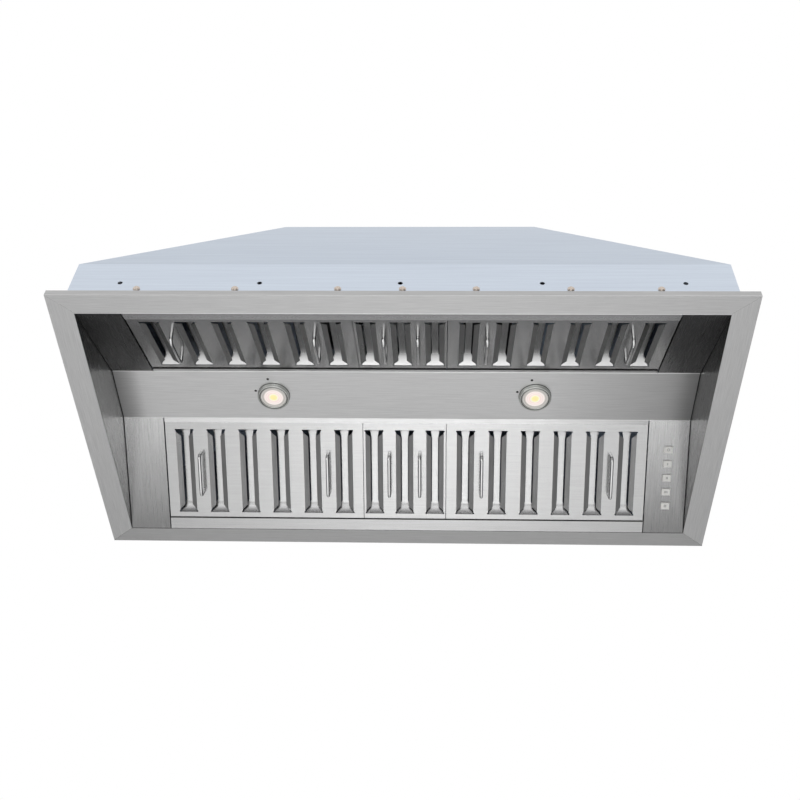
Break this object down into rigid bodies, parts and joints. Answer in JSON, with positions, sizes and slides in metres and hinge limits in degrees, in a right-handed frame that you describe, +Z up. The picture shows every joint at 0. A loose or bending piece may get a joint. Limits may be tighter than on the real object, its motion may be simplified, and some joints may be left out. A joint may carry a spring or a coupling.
{
  "type": "range hood insert",
  "caption": "Built-in stainless range hood insert: flanged canopy, two sloping rows of lift-out baffle filters, light bar, push buttons, blower and round duct collar.",
  "frame": {"origin": "centre of the underside of the flange, at the bottom of the part", "axes": "+X to the right along the width, +Y to the rear, +Z up to the duct"},
  "size_m": [0.873, 0.451, 0.299],
  "materials": {
    "housing_steel": "satin stainless sheet",
    "flange_steel": "brushed stainless sheet",
    "panel_steel": "brushed stainless sheet",
    "baffle_steel": "bright stainless sheet",
    "handle_steel": "polished wire",
    "lamp_metal": "satin",
    "lamp_lens": "frosted",
    "heat_sink": "cast",
    "button_metal": "satin",
    "black_plastic": "moulded",
    "blower_sheet": "zinc coated sheet",
    "motor_metal": "enamelled",
    "shaft_steel": "ground",
    "wheel_metal": "mill finish",
    "duct_sheet": "zinc coated sheet",
    "screw_steel": "plain pan heads"
  },
  "bodies": {
    "hood": {"flange_front": "flange_steel", "flange_rear": "flange_steel", "flange_left": "flange_steel", "flange_right": "flange_steel", "front_panel": "housing_steel", "rear_panel": "housing_steel", "left_end_panel": "housing_steel", "right_end_panel": "housing_steel", "roof_panel": "housing_steel", "left_liner": "panel_steel", "right_liner": "panel_steel", "light_bar": "panel_steel", "front_left_filler": "panel_steel", "front_right_filler": "panel_steel", "rear_left_filler": "panel_steel", "control_panel": "panel_steel", "front_rail": "panel_steel", "rear_rail": "panel_steel", "left_lamp_ring": "lamp_metal", "left_lamp_lens": "lamp_lens", "left_lamp_module": "heat_sink", "right_lamp_ring": "lamp_metal", "right_lamp_lens": "lamp_lens", "right_lamp_module": "heat_sink", "switch_housing": "black_plastic", "blower_wrap": "blower_sheet", "blower_left_cheek": "blower_sheet", "blower_right_cheek": "blower_sheet", "motor": "motor_metal", "duct_collar": "duct_sheet", "control_box": "blower_sheet", "cable_gland": "black_plastic", "housing_screws": "screw_steel"},
    "front_left_filter": {"front_left_filter_face": "baffle_steel", "front_left_filter_back": "baffle_steel", "front_left_filter_handles": "handle_steel"},
    "front_middle_filter": {"front_middle_filter_face": "baffle_steel", "front_middle_filter_back": "baffle_steel", "front_middle_filter_handles": "handle_steel"},
    "front_right_filter": {"front_right_filter_face": "baffle_steel", "front_right_filter_back": "baffle_steel", "front_right_filter_handles": "handle_steel"},
    "rear_left_filter": {"rear_left_filter_face": "baffle_steel", "rear_left_filter_back": "baffle_steel", "rear_left_filter_handles": "handle_steel"},
    "rear_middle_filter": {"rear_middle_filter_face": "baffle_steel", "rear_middle_filter_back": "baffle_steel", "rear_middle_filter_handles": "handle_steel"},
    "rear_right_filter": {"rear_right_filter_face": "baffle_steel", "rear_right_filter_back": "baffle_steel", "rear_right_filter_handles": "handle_steel"},
    "push_button_1": {"button_1": "button_metal"},
    "push_button_2": {"button_2": "button_metal"},
    "push_button_3": {"button_3": "button_metal"},
    "push_button_4": {"button_4": "button_metal"},
    "push_button_5": {"button_5": "button_metal"},
    "blower_wheel": {"motor_shaft": "shaft_steel", "impeller": "wheel_metal"},
    "front_damper": {"front_damper_flap": "duct_sheet"},
    "rear_damper": {"rear_damper_flap": "duct_sheet"}
  },
  "joints": [
    {"name": "front_left_filter_lift", "type": "slide", "parent": "hood", "child": "front_left_filter", "axis": [0, 0.9031, 0.4294], "range_m": [0, 0.008]},
    {"name": "front_middle_filter_lift", "type": "slide", "parent": "hood", "child": "front_middle_filter", "axis": [0, 0.9031, 0.4294], "range_m": [0, 0.008]},
    {"name": "front_right_filter_lift", "type": "slide", "parent": "hood", "child": "front_right_filter", "axis": [0, 0.9031, 0.4294], "range_m": [0, 0.008]},
    {"name": "rear_left_filter_lift", "type": "slide", "parent": "hood", "child": "rear_left_filter", "axis": [0, -0.9031, 0.4294], "range_m": [0, 0.008]},
    {"name": "rear_middle_filter_lift", "type": "slide", "parent": "hood", "child": "rear_middle_filter", "axis": [0, -0.9031, 0.4294], "range_m": [0, 0.008]},
    {"name": "rear_right_filter_lift", "type": "slide", "parent": "hood", "child": "rear_right_filter", "axis": [0, -0.9031, 0.4294], "range_m": [0, 0.008]},
    {"name": "button_1_press", "type": "slide", "parent": "hood", "child": "push_button_1", "axis": [0, 0.4294, 0.9031], "range_m": [0, 0.002], "stiffness_N_per_m": 400, "springref_m": -0.002},
    {"name": "button_2_press", "type": "slide", "parent": "hood", "child": "push_button_2", "axis": [0, 0.4294, 0.9031], "range_m": [0, 0.002], "stiffness_N_per_m": 400, "springref_m": -0.002},
    {"name": "button_3_press", "type": "slide", "parent": "hood", "child": "push_button_3", "axis": [0, 0.4294, 0.9031], "range_m": [0, 0.002], "stiffness_N_per_m": 400, "springref_m": -0.002},
    {"name": "button_4_press", "type": "slide", "parent": "hood", "child": "push_button_4", "axis": [0, 0.4294, 0.9031], "range_m": [0, 0.002], "stiffness_N_per_m": 400, "springref_m": -0.002},
    {"name": "button_5_press", "type": "slide", "parent": "hood", "child": "push_button_5", "axis": [0, 0.4294, 0.9031], "range_m": [0, 0.002], "stiffness_N_per_m": 400, "springref_m": -0.002},
    {"name": "blower_spin", "type": "hinge", "parent": "hood", "child": "blower_wheel", "pos_m": [0, -0.04941, 0.17128], "axis": [1, 0, 0], "continuous": true},
    {"name": "front_damper_swing", "type": "hinge", "parent": "hood", "child": "front_damper", "pos_m": [0, -0.005, 0.248], "axis": [-1, 0, 0], "range_deg": [0, 80]},
    {"name": "rear_damper_swing", "type": "hinge", "parent": "hood", "child": "rear_damper", "pos_m": [0, 0.005, 0.248], "axis": [1, 0, 0], "range_deg": [0, 80]}
  ]
}
